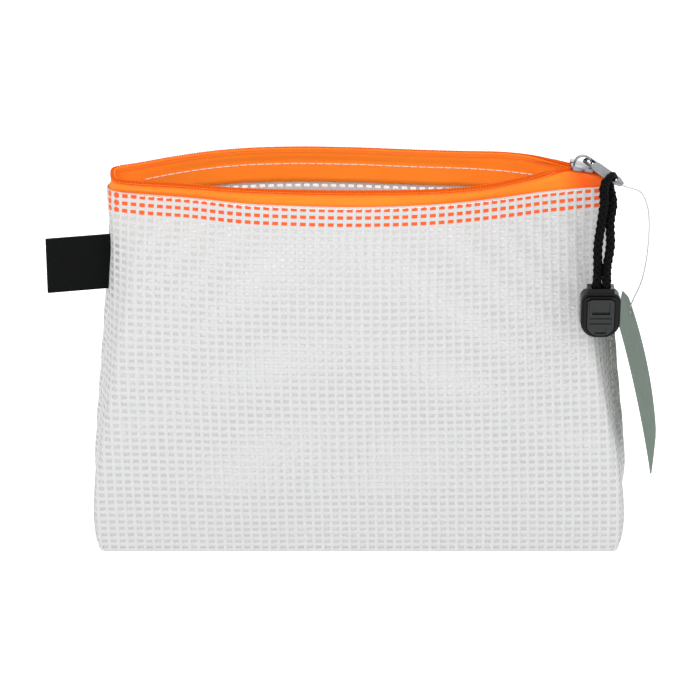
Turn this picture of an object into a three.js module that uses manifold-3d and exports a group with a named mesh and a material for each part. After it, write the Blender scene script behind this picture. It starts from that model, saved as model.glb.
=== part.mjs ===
// Zipper pouch: an open-topped pouch of clear vinyl with a woven grid, closed by a coil zip.
// Millimetres. +X runs to the zip's closed end, +Y to the back wall, +Z up.
// The origin is the middle of the flat base, on the surface that the pouch stands on.
import * as THREE from 'three';
import { mergeVertices } from 'three/addons/utils/BufferGeometryUtils.js';
import Module from 'manifold-3d';

const wasm = await Module();
wasm.setup();

// Pouch body
const BASE_LENGTH = 176;
const BASE_DEPTH = 42;
const BASE_CORNER_RADIUS = 4;
const WALL = 0.6;
const ZIP_TOP = 130;
const ZIP_BARE = 5.8;
const PANEL_TOP = ZIP_TOP - ZIP_BARE;
const MOUTH_LENGTH = 165;
const MOUTH_DEPTH = 44;
const BULGE_OUT = 3;
const BULGE_HEIGHT = 22;
const BELLY_OUT = 3;
const BELLY_HEIGHT = 32;
const SQUARE_TO_LENS_POWER = 1.3;
const CLEARANCE = 0.3;

// Side seams
const SEAM_ALLOWANCE = 7;
const SEAM_PLIES = 1;
const SEAM_FOOT = 4;
const SEAM_HEAD = PANEL_TOP - 8.2;

// Zip: tape, coil and where the slider stands
const TAPE_LAP = 6.9;
const TAPE_BOTTOM = PANEL_TOP - TAPE_LAP;
const TAPE_THICKNESS = 0.45;
const COIL_WIDTH = 1.8;
const COIL_THICKNESS = 1.4;
const COIL_PITCH = 1.5;
const COIL_GROOVE = 0.8;
const ZIP_END_DROP = 2.2;
const SLIDER_FROM_END = 9.2;
const SLIDER_DROP = 0.4;
const SLIDER_X = MOUTH_LENGTH / 2 - SLIDER_FROM_END;
const SLIDER_Z = ZIP_TOP - SLIDER_DROP;
const SLIDER_TILT = 12;

// Slider
const SLIDER_LENGTH = 8;
const PLATE_THICKNESS = 0.8;
const FLANGE_THICKNESS = 0.7;
const SHOULDER_SPREAD = 2.3;
const THROAT_START = 0.5;
const TAPE_SLOT = 1.1;
const BAIL_WIDTH = 1.4;
const BAIL_STRIP = 0.6;
const BAIL_INSIDE_LENGTH = 5.2;
const BAIL_INSIDE_HEIGHT = 2.8;

// Pull tab
const TAB_YAW = 35;
const TAB_SLOPE = 24;
const TAB_THICKNESS = 0.9;
const TAB_WIDTH = 5;
const TAB_REACH = 15.2;
const TAB_TIP_LENGTH = 2.4;
const RING_BAR = 0.8;
const RING_WIDTH = 4.2;
const RING_WINDOW_LENGTH = 2.6;
const RING_WINDOW_WIDTH = 2.6;
const CORD_HOLE_REACH = 11;
const CORD_HOLE = 3.7;

// Pull cord and its moulded end
const CORD = 2.9;
const CORD_SIDES = 8;
const CORD_STEPS = 44;
const CORD_END = fromSlider(6, -19.6, -42.2);
const CORD_END_WIDTH = 13;
const CORD_END_HEIGHT = 17;
const CORD_END_THICKNESS = 7;
const CORD_SOCKET_DEPTH = 5;
const COLLAR_WIDTH = 8.8;
const COLLAR_RISE = 1.6;
const CORD_SPACING = 3.4;

// Woven label in the left seam
const LABEL_HEIGHT = 19;
const LABEL_MIDDLE_Z = 97.5;
const LABEL_OUTSIDE = 21.5;
const LABEL_TAIL = 4.5;
const LABEL_PLY = 0.4;
const LABEL_FOLD_GAP = 0.4;
const LABEL_SWEEP = 15;

// Hang tag on its filament
const TAG_WIDTH = 30;
const TAG_LENGTH = 57;
const TAG_CARD = 0.5;
const TAG_CORNER = 4;
const TAG_HOLE = 3;
const TAG_HOLE_DOWN = 8;
const TAG_HOLE_IN = 4;
const TAG_HOLE_AT = fromSlider(18.1, 11, -55.2);
const TAG_LEAN = 13.3;
const TAG_TURN = 8.5;
const FILAMENT = 0.6;
const FILAMENT_SIDES = 6;
const FILAMENT_STEPS = 36;

const rad = THREE.MathUtils.degToRad;

// What hangs from the slider is placed by its steps along X and Z from the slider's middle.
function fromSlider(alongX, y, alongZ) {
  return new THREE.Vector3(SLIDER_X + alongX, y, SLIDER_Z + alongZ);
}

// Outline of the mouth's front half, as shares of its half length and half depth, from seam to seam.
const MOUTH_SHAPE = [
  [-1, 0], [-0.992, 0.2], [-0.96, 0.38], [-0.88, 0.48], [-0.73, 0.64], [-0.49, 0.87], [-0.22, 0.98],
  [0.05, 1], [0.32, 0.93], [0.56, 0.76], [0.74, 0.53], [0.86, 0.39], [0.95, 0.3], [0.99, 0.17], [1, 0],
];

function smooth(share) {
  const s = THREE.MathUtils.clamp(share, 0, 1);
  return s * s * (3 - 2 * s);
}

// Solid and mesh helpers

function toSolid(geometry) {
  const bare = geometry.clone();
  bare.deleteAttribute('normal');
  bare.deleteAttribute('uv');
  const merged = mergeVertices(bare, 1e-5);
  return new wasm.Manifold(new wasm.Mesh({
    numProp: 3,
    vertProperties: Float32Array.from(merged.attributes.position.array),
    triVerts: Uint32Array.from(merged.index.array),
  }));
}

function toGeometry(solid) {
  const mesh = solid.getMesh();
  const geometry = new THREE.BufferGeometry();
  const places = new Float32Array(mesh.numVert * 3);
  for (let i = 0; i < mesh.numVert; i += 1) {
    for (let k = 0; k < 3; k += 1) places[3 * i + k] = mesh.vertProperties[i * mesh.numProp + k];
  }
  geometry.setAttribute('position', new THREE.BufferAttribute(places, 3));
  geometry.setIndex(new THREE.BufferAttribute(Uint32Array.from(mesh.triVerts), 1));
  return geometry;
}

// A closed skin over rings of points: each ring joins the next, and the two end rings are capped.
function loftRings(rings) {
  const sides = rings[0].length;
  const places = rings.flat().flatMap((p) => [p.x, p.y, p.z]);
  const faces = [];
  for (let i = 0; i + 1 < rings.length; i += 1) {
    for (let k = 0; k < sides; k += 1) {
      const a = i * sides + k;
      const b = i * sides + ((k + 1) % sides);
      faces.push(a, b, a + sides, b, b + sides, a + sides);
    }
  }
  const last = (rings.length - 1) * sides;
  for (let k = 1; k + 1 < sides; k += 1) {
    faces.push(0, k + 1, k);
    faces.push(last, last + k, last + k + 1);
  }
  const geometry = new THREE.BufferGeometry();
  geometry.setAttribute('position', new THREE.Float32BufferAttribute(places, 3));
  geometry.setIndex(faces);
  return signedVolume(geometry) > 0 ? geometry : flipped(geometry);
}

function signedVolume(geometry) {
  const place = geometry.attributes.position;
  const corners = [0, 1, 2].map(() => new THREE.Vector3());
  let sum = 0;
  for (let i = 0; i < geometry.index.count; i += 3) {
    corners.forEach((c, k) => c.fromBufferAttribute(place, geometry.index.getX(i + k)));
    sum += corners[0].dot(corners[1].clone().cross(corners[2])) / 6;
  }
  return sum;
}

function flipped(geometry) {
  const order = Array.from(geometry.index.array);
  for (let i = 0; i < order.length; i += 3) [order[i], order[i + 1]] = [order[i + 1], order[i]];
  geometry.setIndex(order);
  return geometry;
}

// A sheet of even thickness about a grid of middle points, closed round its four edges.
function thickSheet(grid, thickness) {
  const rows = grid.length;
  const columns = grid[0].length;
  const normalAt = (i, k) => {
    const along = grid[i][Math.min(k + 1, columns - 1)].clone().sub(grid[i][Math.max(k - 1, 0)]);
    const across = grid[Math.min(i + 1, rows - 1)][k].clone().sub(grid[Math.max(i - 1, 0)][k]);
    return along.cross(across).normalize();
  };
  const rings = [];
  for (let i = 0; i < rows; i += 1) {
    const near = [];
    const far = [];
    for (let k = 0; k < columns; k += 1) {
      const step = normalAt(i, k).multiplyScalar(thickness / 2);
      near.push(grid[i][k].clone().add(step));
      far.push(grid[i][k].clone().sub(step));
    }
    rings.push([...near, ...far.reverse()]);
  }
  const sides = 2 * columns;
  const geometry = loftRings(rings);
  // The end caps follow the sheet strip by strip, because a fan would cross a curved edge.
  const body = Array.from(geometry.index.array).slice(0, (rows - 1) * sides * 6);
  const outward = body[0] === 0 ? 1 : -1;
  [0, (rows - 1) * sides].forEach((first, end) => {
    for (let k = 0; k + 1 < columns; k += 1) {
      const quad = [first + k, first + k + 1, first + sides - 2 - k, first + sides - 1 - k];
      const turn = (end === 0 ? -1 : 1) * outward;
      const [a, b, c, d] = turn > 0 ? quad : [...quad].reverse();
      body.push(a, b, c, a, c, d);
    }
  });
  geometry.setIndex(body);
  return geometry;
}

function prism(shape, height, curveSegments = 12) {
  return new THREE.ExtrudeGeometry(shape, { depth: height, bevelEnabled: false, curveSegments });
}

function shapeFrom(points) {
  return new THREE.Shape(points.map(([x, y]) => new THREE.Vector2(x, y)));
}

// A rectangle with round corners, each corner with its own radius: lower left, then anticlockwise.
function roundedShape(x0, y0, x1, y1, radii) {
  const [a, b, c, d] = radii;
  const shape = new THREE.Shape();
  shape.moveTo(x0 + a, y0);
  shape.lineTo(x1 - b, y0);
  shape.absarc(x1 - b, y0 + b, b, -Math.PI / 2, 0, false);
  shape.lineTo(x1, y1 - c);
  shape.absarc(x1 - c, y1 - c, c, 0, Math.PI / 2, false);
  shape.lineTo(x0 + d, y1);
  shape.absarc(x0 + d, y1 - d, d, Math.PI / 2, Math.PI, false);
  shape.lineTo(x0, y0 + a);
  shape.absarc(x0 + a, y0 + a, a, Math.PI, 1.5 * Math.PI, false);
  return shape;
}

function box(x0, x1, y0, y1, z0, z1) {
  const geometry = new THREE.BoxGeometry(x1 - x0, y1 - y0, z1 - z0);
  return geometry.translate((x0 + x1) / 2, (y0 + y1) / 2, (z0 + z1) / 2);
}

// Pouch walls

function halfLengthAt(z) {
  const share = z / PANEL_TOP;
  const straight = THREE.MathUtils.lerp(BASE_LENGTH / 2, MOUTH_LENGTH / 2, share);
  const rise = z / BULGE_HEIGHT;
  return straight + BULGE_OUT * rise * Math.exp(1 - rise) + share * (1 - share) * BULGE_OUT;
}

function halfDepthAt(z) {
  const share = z / PANEL_TOP;
  const straight = THREE.MathUtils.lerp(BASE_DEPTH / 2, MOUTH_DEPTH / 2, share);
  const rise = z / BELLY_HEIGHT;
  return straight + BELLY_OUT * rise * Math.exp(1 - rise);
}

function baseHalfOutline() {
  const a = BASE_LENGTH / 2;
  const b = BASE_DEPTH / 2;
  const r = BASE_CORNER_RADIUS;
  const path = new THREE.Path();
  path.moveTo(-a, 0);
  path.lineTo(-a, -b + r);
  path.absarc(-a + r, -b + r, r, Math.PI, 1.5 * Math.PI, false);
  path.lineTo(a - r, -b);
  path.absarc(a - r, -b + r, r, -Math.PI / 2, 0, false);
  path.lineTo(a, 0);
  return path;
}

function mouthHalfOutline() {
  const a = MOUTH_LENGTH / 2;
  const b = MOUTH_DEPTH / 2;
  const points = MOUTH_SHAPE.map(([u, v]) => new THREE.Vector3(u * a, -v * b, 0));
  return new THREE.CatmullRomCurve3(points, false, 'centripetal');
}

const BASE_OUTLINE = baseHalfOutline();
const MOUTH_OUTLINE = mouthHalfOutline();

// A point of a wall's middle surface: share runs from the left seam, 0, to the right seam, 1.
function wallPoint(side, share, z) {
  const low = BASE_OUTLINE.getPointAt(share);
  const high = MOUTH_OUTLINE.getPointAt(share);
  const weight = Math.min(z / PANEL_TOP, 1) ** SQUARE_TO_LENS_POWER;
  const u = THREE.MathUtils.lerp(low.x / (BASE_LENGTH / 2), high.x / (MOUTH_LENGTH / 2), weight);
  const v = THREE.MathUtils.lerp(-low.y / (BASE_DEPTH / 2), -high.y / (MOUTH_DEPTH / 2), weight);
  const level = Math.min(z, PANEL_TOP);
  const depth = Math.max(v * halfDepthAt(level), CLEARANCE / 2);
  return new THREE.Vector3(u * halfLengthAt(level), side * depth, z);
}

// Columns stand closer together towards the two seams, where the wall turns, and round the base's corners.
const COLUMNS = 40;
const EVEN_SHARES = Array.from({ length: COLUMNS + 1 }, (_, i) => {
  const even = i / COLUMNS;
  return 0.45 * even + 0.55 * (0.5 - 0.5 * Math.cos(Math.PI * even));
});

function cornerShares() {
  const side = BASE_DEPTH / 2 - BASE_CORNER_RADIUS;
  const arc = 0.5 * Math.PI * BASE_CORNER_RADIUS;
  const whole = 2 * side + 2 * arc + BASE_LENGTH - 2 * BASE_CORNER_RADIUS;
  const left = [0, 0.5, 1].map((part) => (side + part * arc) / whole);
  return [...left, ...left.map((share) => 1 - share)];
}

const WALL_SHARES = [...EVEN_SHARES, ...cornerShares()].sort((a, b) => a - b);
const WALL_FOOT = WALL + CLEARANCE;
const WALL_ROWS = [0, 0.04, 0.09, 0.16, 0.25, 0.37, 0.52, 0.68, 0.84, 1];

function wallPanel(side) {
  const grid = WALL_ROWS.map((row) => {
    const z = THREE.MathUtils.lerp(WALL_FOOT, PANEL_TOP, row);
    return WALL_SHARES.map((share) => wallPoint(side, share, z));
  });
  return toGeometry(toSolid(thickSheet(grid, WALL)).subtract(toSolid(labelSlot())));
}

function basePanel() {
  const shape = roundedShape(
    -BASE_LENGTH / 2, -BASE_DEPTH / 2, BASE_LENGTH / 2, BASE_DEPTH / 2,
    Array(4).fill(BASE_CORNER_RADIUS),
  );
  return prism(shape, WALL, 6);
}

function seamAllowance(end) {
  const outer = [];
  const inner = [];
  const steps = 8;
  for (let i = 0; i <= steps; i += 1) {
    const z = THREE.MathUtils.lerp(SEAM_FOOT, SEAM_HEAD, i / steps);
    const x = halfLengthAt(z) - WALL / 2 - CLEARANCE;
    outer.push([end * x, z]);
    inner.unshift([end * (x - SEAM_ALLOWANCE), z]);
  }
  const shape = shapeFrom([...outer, ...inner]);
  const geometry = prism(shape, SEAM_PLIES).rotateX(Math.PI / 2).translate(0, SEAM_PLIES / 2, 0);
  if (end > 0) return geometry;
  return toGeometry(toSolid(geometry).subtract(toSolid(labelSlot())));
}

// Woven label, folded over and caught in the left seam

const LABEL_THICKNESS = 2 * LABEL_PLY + LABEL_FOLD_GAP;
const LABEL_ROOT_X = -halfLengthAt(LABEL_MIDDLE_Z) - WALL;

function labelSlot() {
  const half = LABEL_THICKNESS / 2 + CLEARANCE;
  const reach = LABEL_TAIL + WALL + CLEARANCE;
  const z = LABEL_HEIGHT / 2 + CLEARANCE;
  return box(
    LABEL_ROOT_X - 2 * WALL, LABEL_ROOT_X + reach, -half, half, LABEL_MIDDLE_Z - z, LABEL_MIDDLE_Z + z,
  );
}

function wovenLabel() {
  const sweep = rad(LABEL_SWEEP);
  const tail = new THREE.Vector2(LABEL_ROOT_X + LABEL_TAIL, 0);
  const root = new THREE.Vector2(LABEL_ROOT_X - WALL, 0);
  const away = new THREE.Vector2(-Math.cos(sweep), -Math.sin(sweep));
  const fold = root.clone().addScaledVector(away, LABEL_OUTSIDE);
  const across = new THREE.Vector2(-away.y, away.x);
  const side = (offset, bend) => [
    new THREE.Vector2(tail.x, -offset),
    new THREE.Vector2(root.x, -offset),
    fold.clone().addScaledVector(across, offset).addScaledVector(away, bend),
  ];
  const out = LABEL_THICKNESS / 2;
  const inside = LABEL_FOLD_GAP / 2;
  const shape = new THREE.Shape([
    ...side(out, -out),
    fold.clone(),
    ...side(-out, -out).reverse(),
    ...side(-inside, -out),
    ...side(inside, -out).reverse(),
  ]);
  return prism(shape, LABEL_HEIGHT).translate(0, 0, LABEL_MIDDLE_Z - LABEL_HEIGHT / 2);
}

// Zip: each coil runs round the mouth and then through the slider, and its tape hangs from it

const TILT = rad(SLIDER_TILT);
const SLIDER_AXIS = new THREE.Vector3(Math.cos(TILT), 0, -Math.sin(TILT));
const SLIDER_UP = new THREE.Vector3(Math.sin(TILT), 0, Math.cos(TILT));
const COIL_CENTRE = COIL_WIDTH / 2 + CLEARANCE / 2;
const COIL_LEVEL = ZIP_TOP - COIL_WIDTH / 2;
const MOUTH_INSET = WALL / 2 + CLEARANCE + TAPE_THICKNESS / 2;

function sliderPlace(along, across, up) {
  return fromSlider(0, 0, 0)
    .addScaledVector(SLIDER_AXIS, along)
    .addScaledVector(SLIDER_UP, up)
    .add(new THREE.Vector3(0, across, 0));
}

function coilCurve() {
  const scaleX = (MOUTH_LENGTH / 2 - MOUTH_INSET) / (MOUTH_LENGTH / 2);
  const scaleY = (MOUTH_DEPTH / 2 - MOUTH_INSET) / (MOUTH_DEPTH / 2);
  const open = MOUTH_SHAPE.slice(0, 9).map(([u, v], i) => {
    const y = Math.max(v * scaleY * MOUTH_DEPTH / 2, i === 0 ? CLEARANCE : 0);
    return new THREE.Vector3(u * scaleX * MOUTH_LENGTH / 2, -y, COIL_LEVEL);
  });
  const shoulder = sliderPlace(-SLIDER_LENGTH / 2, -SHOULDER_SPREAD, 0);
  const wide = open[open.length - 1];
  const funnel = [[0.34, 0.8], [0.6, 0.46], [0.82, 0.17]].map(([share, left]) => new THREE.Vector3(
    THREE.MathUtils.lerp(wide.x, shoulder.x, share),
    THREE.MathUtils.lerp(shoulder.y, wide.y, left),
    THREE.MathUtils.lerp(wide.z, shoulder.z, share),
  ));
  const throat = [THROAT_START, SLIDER_LENGTH / 4, SLIDER_LENGTH / 2, SLIDER_LENGTH / 2 + 1.6]
    .map((along) => sliderPlace(along, -COIL_CENTRE, 0));
  const last = sliderPlace(SLIDER_LENGTH / 2 + 3.6, -COIL_CENTRE, -ZIP_END_DROP / 4);
  return new THREE.CatmullRomCurve3([...open, ...funnel, shoulder, ...throat, last], false, 'centripetal');
}

const COIL_CURVE = coilCurve();

// The coil stands upright on its tape round the mouth, and lies flat where the slider holds it.
function coilFrame(share) {
  const centre = COIL_CURVE.getPointAt(share);
  const tangent = COIL_CURVE.getTangentAt(share);
  const start = SLIDER_X - 20;
  const turn = smooth((centre.x - start) / (SLIDER_X - SLIDER_LENGTH / 2 - 1 - start)) * Math.PI / 2;
  const lean = new THREE.Vector3(0, Math.sin(turn), Math.cos(turn));
  const tip = lean.addScaledVector(tangent, -lean.dot(tangent)).normalize();
  const face = tangent.clone().cross(tip).normalize();
  return { centre, tip, face };
}

function mirrored(geometry) {
  geometry.scale(1, -1, 1);
  return flipped(geometry);
}

function zipCoil(side) {
  const sides = 5;
  const loops = Math.round(COIL_CURVE.getLength() / COIL_PITCH);
  const rings = [];
  for (let i = 0; i <= 2 * loops; i += 1) {
    const { centre, tip, face } = coilFrame(i / (2 * loops));
    const swell = i % 2 === 0 ? COIL_GROOVE : 1;
    rings.push(Array.from({ length: sides }, (_, k) => {
      const angle = 2 * Math.PI * (k / sides);
      return centre.clone()
        .addScaledVector(tip, swell * Math.cos(angle) * COIL_WIDTH / 2)
        .addScaledVector(face, swell * Math.sin(angle) * COIL_THICKNESS / 2);
    }));
  }
  const geometry = loftRings(rings);
  return side < 0 ? geometry : mirrored(geometry);
}

// A point on the inside of a wall, where the tape is sewn on.
function tapeSeat(share, z) {
  const before = wallPoint(-1, share - 0.004, z);
  const inward = new THREE.Vector3(0, 0, 1).cross(wallPoint(-1, share + 0.004, z).sub(before));
  return wallPoint(-1, share, z).addScaledVector(inward.normalize(), MOUTH_INSET);
}

const TAPE_ROWS = [0, 0.2, 0.45, 0.7, 1];
const TAPE_START = 0.006;
const TAPE_STOP = 0.982;

function zipTape(side) {
  const flat = FLANGE_THICKNESS + 2 * CLEARANCE;
  const shares = WALL_SHARES.filter((share) => share > TAPE_START && share < TAPE_STOP);
  const grid = [TAPE_START, ...shares, TAPE_STOP].map((share) => {
    const { centre, tip } = coilFrame(share);
    const seat = tapeSeat(share, TAPE_BOTTOM);
    const brim = tapeSeat(share, PANEL_TOP);
    const top = centre.clone().addScaledVector(tip, -COIL_WIDTH / 2 - CLEARANCE);
    const shoulder = top.clone().addScaledVector(tip, -flat);
    const reach = shoulder.distanceTo(brim) / 3;
    const rise = brim.clone().sub(seat).setLength(reach);
    const drop = new THREE.CubicBezierCurve3(
      shoulder, shoulder.clone().addScaledVector(tip, -reach), brim.clone().add(rise), brim,
    );
    return [top, ...TAPE_ROWS.map((row) => drop.getPoint(row)), seat];
  });
  grid.forEach((row) => row.forEach((p) => { p.y = Math.min(p.y, -CLEARANCE / 2); }));
  const geometry = thickSheet(grid, TAPE_THICKNESS);
  return side < 0 ? geometry : mirrored(geometry);
}

// Slider: two plates, the neck between them, side flanges and the arched bail, cast in one piece

const CHANNEL = COIL_THICKNESS + 2 * CLEARANCE;
const SLIDER_HALF_HEIGHT = CHANNEL / 2 + PLATE_THICKNESS;
const THROAT_WALL = COIL_CENTRE + COIL_WIDTH / 2 + CLEARANCE;
const SHOULDER_WALL = SHOULDER_SPREAD + COIL_WIDTH / 2 + CLEARANCE;

function zipSlider() {
  const nose = -SLIDER_LENGTH / 2;
  const tail = SLIDER_LENGTH / 2;
  const wide = SHOULDER_WALL + FLANGE_THICKNESS;
  const narrow = THROAT_WALL + FLANGE_THICKNESS;
  const neck = SHOULDER_SPREAD - COIL_WIDTH / 2 - CLEARANCE;
  const half = [
    [nose + 0.9, 0], [nose, neck + 0.3], [nose, wide - 0.7], [nose + 0.7, wide],
    [nose + 2.2, wide - 0.2], [THROAT_START + 0.6, narrow], [tail - 0.6, narrow], [tail, narrow - 0.6],
  ];
  const outline = shapeFrom([...half, ...half.slice(1).reverse().map(([x, y]) => [x, -y])].reverse());
  const blank = toSolid(prism(outline, 2 * SLIDER_HALF_HEIGHT).translate(0, 0, -SLIDER_HALF_HEIGHT));
  const over = 2;
  const slope = (SHOULDER_WALL - THROAT_WALL) / (THROAT_START - nose);
  const lane = (hand) => {
    const points = [
      [nose - over, neck + slope * over], [THROAT_START - 0.6, 0], [tail + over, 0],
      [tail + over, THROAT_WALL], [THROAT_START, THROAT_WALL], [nose - over, SHOULDER_WALL + slope * over],
    ].map(([x, y]) => [x, hand * y]);
    const shape = shapeFrom(hand > 0 ? points : points.reverse());
    return toSolid(prism(shape, CHANNEL).translate(0, 0, -CHANNEL / 2));
  };
  // The tape's way out through a flange, from x0 to x1 along the slider.
  const slot = (hand, x0, x1, inner) => {
    const [low, high] = [hand * inner, hand * (wide + over)].sort((a, b) => a - b);
    return toSolid(box(x0, x1, low, high, -TAPE_SLOT / 2, TAPE_SLOT / 2));
  };
  let body = blank;
  [-1, 1].forEach((hand) => {
    body = body.subtract(lane(hand));
    body = body.subtract(slot(hand, THROAT_START, tail + over, COIL_CENTRE));
    body = body.subtract(slot(hand, nose - over, THROAT_START + 0.1, SHOULDER_SPREAD));
  });
  const geometry = toGeometry(body.add(bail()));
  const turn = new THREE.Matrix4().makeBasis(SLIDER_AXIS, new THREE.Vector3(0, 1, 0), SLIDER_UP);
  turn.setPosition(SLIDER_X, 0, SLIDER_Z);
  return geometry.applyMatrix4(turn);
}

function bail() {
  const inA = BAIL_INSIDE_LENGTH / 2;
  const outA = inA + BAIL_STRIP;
  const outB = BAIL_INSIDE_HEIGHT + BAIL_STRIP;
  const foot = -0.3;
  const arch = new THREE.Shape();
  arch.moveTo(-outA, foot);
  arch.lineTo(-outA, 0);
  arch.absellipse(0, 0, outA, outB, Math.PI, 0, true);
  arch.lineTo(outA, foot);
  arch.lineTo(inA, foot);
  arch.lineTo(inA, 0);
  arch.absellipse(0, 0, inA, BAIL_INSIDE_HEIGHT, 0, Math.PI, false);
  arch.lineTo(-inA, foot);
  const strip = prism(arch, BAIL_WIDTH, 12).rotateX(Math.PI / 2);
  return toSolid(strip.translate(0, BAIL_WIDTH / 2, SLIDER_HALF_HEIGHT));
}

// Pull tab: a flat plate whose ring loops round the bail, with a hole for the cord

const TAB_AXIS = new THREE.Vector3(
  Math.cos(rad(TAB_SLOPE)) * Math.cos(rad(TAB_YAW)),
  -Math.cos(rad(TAB_SLOPE)) * Math.sin(rad(TAB_YAW)),
  -Math.sin(rad(TAB_SLOPE)),
);
const TAB_ACROSS = new THREE.Vector3(Math.sin(rad(TAB_YAW)), Math.cos(rad(TAB_YAW)), 0);
const TAB_FACE = TAB_AXIS.clone().cross(TAB_ACROSS);
const BAIL_SIDE_HEIGHT = 0.92 * BAIL_INSIDE_HEIGHT;
const TAB_PIVOT = sliderPlace(
  0.85, 0.5, SLIDER_HALF_HEIGHT + BAIL_SIDE_HEIGHT - CLEARANCE - RING_BAR / 2,
);

function tabPlace(along, across, up) {
  return TAB_PIVOT.clone()
    .addScaledVector(TAB_AXIS, along)
    .addScaledVector(TAB_ACROSS, across)
    .addScaledVector(TAB_FACE, up);
}

function pullTab() {
  const back = -RING_BAR / 2;
  const plateStart = RING_BAR / 2 + RING_WINDOW_LENGTH + RING_BAR;
  const half = [
    [back, 0], [back, RING_WIDTH / 2 - 0.6], [back + 0.6, RING_WIDTH / 2],
    [plateStart - 0.8, RING_WIDTH / 2], [plateStart + 0.4, TAB_WIDTH / 2],
    [TAB_REACH - TAB_TIP_LENGTH, TAB_WIDTH / 2], [TAB_REACH, TAB_WIDTH / 5],
  ];
  const outline = shapeFrom([...half, ...half.slice(1).reverse().map(([x, y]) => [x, -y])].reverse());
  const windowHole = shapeFrom([
    [RING_BAR / 2, -RING_WINDOW_WIDTH / 2], [RING_BAR / 2 + RING_WINDOW_LENGTH, -RING_WINDOW_WIDTH / 2],
    [RING_BAR / 2 + RING_WINDOW_LENGTH, RING_WINDOW_WIDTH / 2], [RING_BAR / 2, RING_WINDOW_WIDTH / 2],
  ]);
  const cordHole = new THREE.Path();
  cordHole.absarc(CORD_HOLE_REACH, 0, CORD_HOLE / 2, 0, 2 * Math.PI, true);
  outline.holes.push(windowHole, cordHole);
  const geometry = prism(outline, TAB_THICKNESS, 10).translate(0, 0, -TAB_THICKNESS / 2);
  const turn = new THREE.Matrix4().makeBasis(TAB_AXIS, TAB_ACROSS, TAB_FACE);
  turn.setPosition(TAB_PIVOT);
  return geometry.applyMatrix4(turn);
}

// Pull cord: up one side, through the tab's hole, over its edge and down the other side

function tube(points, diameter, sides, steps) {
  const curve = new THREE.CatmullRomCurve3(points, false, 'centripetal');
  const ring = Array.from({ length: sides }, (_, k) => {
    const angle = 2 * Math.PI * ((k + 0.5) / sides);
    return new THREE.Vector2(Math.cos(angle), Math.sin(angle)).multiplyScalar(diameter / 2);
  });
  return new THREE.ExtrudeGeometry(new THREE.Shape(ring), { steps, extrudePath: curve, bevelEnabled: false });
}

const CORD_MOUTH_Z = CORD_END.z + CORD_END_HEIGHT / 2;

function pullCord() {
  const socket = CORD_MOUTH_Z - CORD_SOCKET_DEPTH + CLEARANCE;
  const right = CORD_END.x + CORD_SPACING / 2;
  const left = CORD_END.x - CORD_SPACING / 2;
  const points = [
    new THREE.Vector3(right, CORD_END.y, socket),
    new THREE.Vector3(right, CORD_END.y, CORD_MOUTH_Z + 1),
    fromSlider(8.3, -16.4, -28.1),
    fromSlider(9.2, -13.6, -21.6),
    fromSlider(9.3, -10.8, -14.6),
    fromSlider(10.3, -8.2, -8.6),
    tabPlace(CORD_HOLE_REACH, 0, -2.4),
    tabPlace(CORD_HOLE_REACH, 0, 0),
    tabPlace(CORD_HOLE_REACH, -0.6, 1.6),
    tabPlace(CORD_HOLE_REACH, -2.4, 2.4),
    tabPlace(CORD_HOLE_REACH, -4.2, 1.3),
    tabPlace(CORD_HOLE_REACH - 0.2, -4.8, -1.4),
    fromSlider(5.7, -11.6, -8.6),
    fromSlider(5.8, -12.8, -14.6),
    fromSlider(4.9, -14.4, -22.1),
    fromSlider(4.7, -16.6, -28.6),
    new THREE.Vector3(left, CORD_END.y, CORD_MOUTH_Z + 1),
    new THREE.Vector3(left, CORD_END.y, socket),
  ];
  return tube(points, CORD, CORD_SIDES, CORD_STEPS);
}

// Moulded cord end: a pocketed body with a collar, and a ribbed lid set in its front

const LID = { width: 9.4, height: 12.6, depth: 1.6, drop: 2.6 };
const SIGHT = { width: 6, height: 4.4 };

function cordEndOutline(width, height, foot, shoulder) {
  const top = height / 2 - COLLAR_RISE;
  return roundedShape(-width / 2, -height / 2, width / 2, top, [foot, foot, shoulder, shoulder]);
}

function placeCordEnd(geometry) {
  return geometry.translate(CORD_END.x, CORD_END.y, CORD_END.z);
}

function upright(shape, front, back) {
  return prism(shape, back - front, 5).rotateX(Math.PI / 2).translate(0, back, 0);
}

function cordEndBody() {
  const front = -CORD_END_THICKNESS / 2;
  const back = CORD_END_THICKNESS / 2;
  const foot = CORD_END_WIDTH * 0.42;
  const inner = 0.9;
  const full = cordEndOutline(CORD_END_WIDTH, CORD_END_HEIGHT, foot, 2.6);
  let body = toSolid(upright(full, front + inner, back - inner));
  const thin = cordEndOutline(CORD_END_WIDTH - 2 * inner, CORD_END_HEIGHT - 2 * inner, foot - inner, 1.7);
  body = body.add(toSolid(upright(thin, front, back)));
  const collar = box(
    -COLLAR_WIDTH / 2, COLLAR_WIDTH / 2, front + 1.1, back - 1.1,
    CORD_END_HEIGHT / 2 - 2 * COLLAR_RISE, CORD_END_HEIGHT / 2,
  );
  body = body.add(toSolid(collar));
  const pocket = roundedShape(
    -LID.width / 2, -LID.height / 2, LID.width / 2, LID.height / 2, [3.6, 3.6, 0.6, 0.6],
  );
  const pocketCut = upright(pocket, front - 1, front + LID.depth).translate(0, 0, -LID.drop / 2);
  body = body.subtract(toSolid(pocketCut));
  const bore = CORD / 2 + CLEARANCE;
  [-1, 1].forEach((hand) => {
    const socket = new THREE.CylinderGeometry(bore, bore, CORD_SOCKET_DEPTH + 1, 12);
    socket.rotateX(Math.PI / 2);
    socket.translate(hand * CORD_SPACING / 2, 0, CORD_END_HEIGHT / 2 - CORD_SOCKET_DEPTH / 2 + 0.5);
    body = body.subtract(toSolid(socket));
  });
  return placeCordEnd(toGeometry(body));
}

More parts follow.
